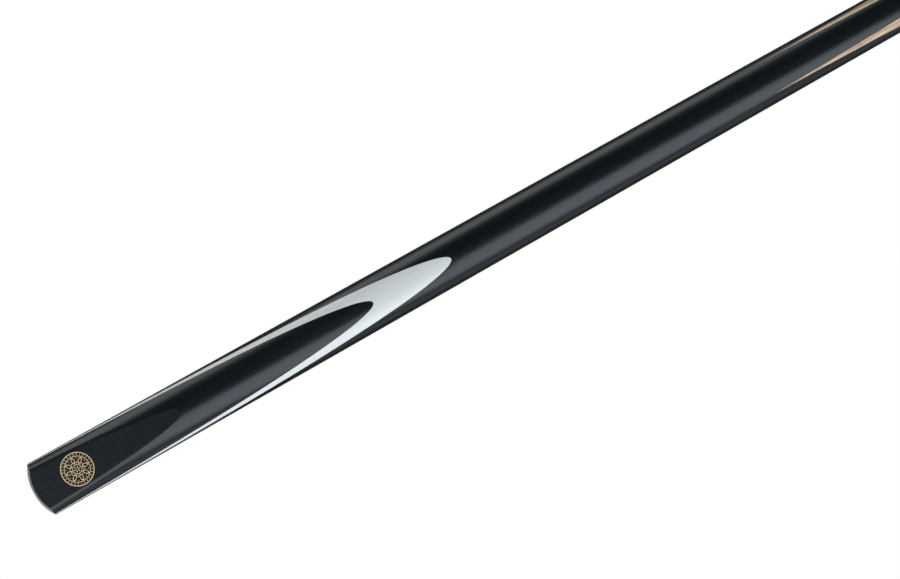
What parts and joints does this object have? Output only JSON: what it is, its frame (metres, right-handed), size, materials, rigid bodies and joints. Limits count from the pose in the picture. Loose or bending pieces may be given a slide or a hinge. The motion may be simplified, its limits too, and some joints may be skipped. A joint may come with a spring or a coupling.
{
  "type": "pool cue",
  "caption": "Two-piece pool cue: hand-spliced ebony and ash butt with a white slip and a round badge on a flat, brass screw joint, ash shaft, brass ferrule and leather tip.",
  "frame": {"origin": "centre of the butt end, at its lowest point", "axes": "+Z along the cue from the butt to the tip; the badge flat faces -Y; +X is to the right of someone who looks at the badge with the tip up"},
  "size_m": [0.029, 0.0285, 1.448],
  "materials": {
    "ash": "oiled and waxed, open dark grain with chevrons",
    "ebony": "satin lacquer over near-black wood",
    "white_slip": "lacquered, bluish white",
    "badge_brass": "polished lines on a dark ground",
    "badge_enamel": "gloss black enamel",
    "brass": "turned and polished",
    "dowel": "plain beech dowel",
    "steel": "plain turned steel",
    "tip_leather": "pressed chalked leather"
  },
  "bodies": {
    "butt": {"ash_butt_core": "ash", "ebony_splice_front": "ebony", "ebony_splice_right": "ebony", "ebony_splice_back": "ebony", "ebony_splice_left": "ebony", "white_slip": "white_slip", "ebony_facing": "ebony", "badge_plate": "badge_brass", "badge_enamel": "badge_enamel", "extension_insert": "brass", "weight_plug": "dowel", "butt_weight": "steel", "joint_screw": "brass"},
    "turning_collar": {"butt_collar": "brass"},
    "shaft": {"shaft_collar": "brass", "joint_socket": "brass", "ash_shaft": "ash", "ferrule": "brass", "leather_tip": "tip_leather"}
  },
  "joints": [
    {"name": "shaft_turn", "type": "hinge", "parent": "butt", "child": "turning_collar", "pos_m": [0, 0, 0.724], "axis": [0, 0, 1], "range_deg": [0, 3600]},
    {"name": "shaft_withdraw", "type": "slide", "parent": "turning_collar", "child": "shaft", "axis": [0, 0, 1], "range_m": [0, 0.025]}
  ],
  "couplings": [
    {"joint": "shaft_turn", "follows": "shaft_withdraw", "rad_per_m": 2513.3}
  ]
}
